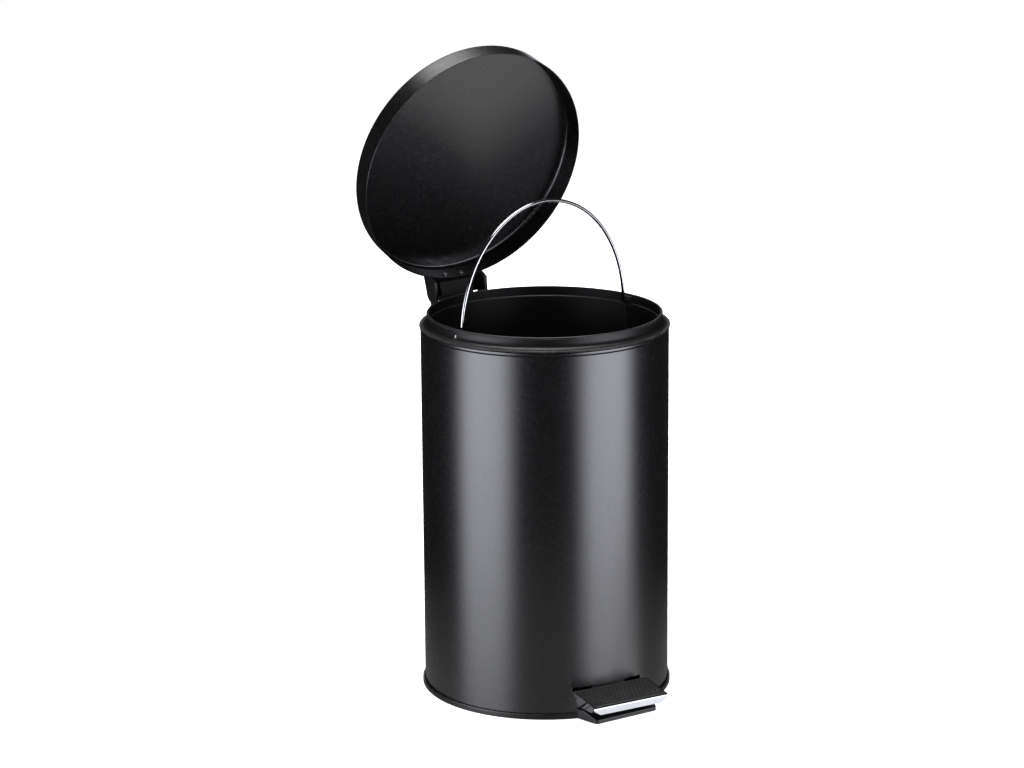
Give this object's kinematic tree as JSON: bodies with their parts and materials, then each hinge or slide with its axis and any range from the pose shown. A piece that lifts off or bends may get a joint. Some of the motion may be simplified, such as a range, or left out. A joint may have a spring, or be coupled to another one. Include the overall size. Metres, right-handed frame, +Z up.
{
  "type": "pedal bin",
  "caption": "Round steel pedal bin with hinged lid, push-rod pedal linkage, lift-out bucket and wire bail, on a moulded base.",
  "frame": {"origin": "middle of the moulded base, on the floor", "axes": "+Z up, the pedal points to -Y, the lid hinges at +Y, X runs along the hinge pin"},
  "size_m": [0.2554, 0.3569, 0.6431],
  "materials": {
    "satin_black_steel": "satin baked enamel, smooth",
    "black_moulding": "fine moulded texture",
    "bucket_black": "satin, smooth",
    "zinc_steel": "bright zinc plate",
    "chrome": "polished plate",
    "pad_rubber": "moulded studs, matte"
  },
  "bodies": {
    "shell": {"outer_shell": "satin_black_steel", "base": "black_moulding", "fulcrum_bracket": "zinc_steel", "fulcrum_pin": "zinc_steel", "fulcrum_clip": "zinc_steel", "bracket_rivets": "zinc_steel", "rod_guides": "black_moulding", "guide_rivets": "satin_black_steel", "hinge_housing": "black_moulding", "housing_screws": "zinc_steel", "hinge_pin": "zinc_steel", "hinge_pin_clip": "zinc_steel"},
    "lid": {"lid_shell": "satin_black_steel", "lid_bracket": "black_moulding", "lid_rivets": "chrome", "crank_pin": "zinc_steel"},
    "rod": {"push_rod": "zinc_steel", "rod_clip": "zinc_steel"},
    "pedal": {"lever_bar": "zinc_steel", "lever_rivets": "zinc_steel", "pedal_tray": "chrome", "pedal_pad": "pad_rubber"},
    "bucket": {"bucket": "bucket_black"},
    "bail": {"bail_handle": "chrome"}
  },
  "joints": [
    {"name": "lid_hinge", "type": "hinge", "parent": "shell", "child": "lid", "pos_m": [0, 0.158, 0.359], "axis": [-1, 0, 0], "range_deg": [-72.7, 0]},
    {"name": "rod_slide", "type": "slide", "parent": "shell", "child": "rod", "axis": [0, 0, 1], "range_m": [-0.02373, 0]},
    {"name": "pedal_pivot", "type": "hinge", "parent": "shell", "child": "pedal", "pos_m": [-0.00599, -0.10383, 0.0265], "axis": [0.9983, -0.0576, 0], "range_deg": [-6.3, 0]},
    {"name": "bucket_lift", "type": "slide", "parent": "shell", "child": "bucket", "axis": [0, 0, 1], "range_m": [0, 0.0035]},
    {"name": "bail_swing", "type": "hinge", "parent": "bucket", "child": "bail", "pos_m": [0, 0, 0.381], "axis": [0.9877, 0.1564, 0], "range_deg": [0, 83.51]}
  ],
  "couplings": [
    {"joint": "rod_slide", "follows": "lid_hinge", "m_per_rad": 0.018685},
    {"joint": "pedal_pivot", "follows": "lid_hinge", "ratio": 0.086549},
    {"joint": "bail_swing", "follows": "lid_hinge", "ratio": -1.1486}
  ]
}
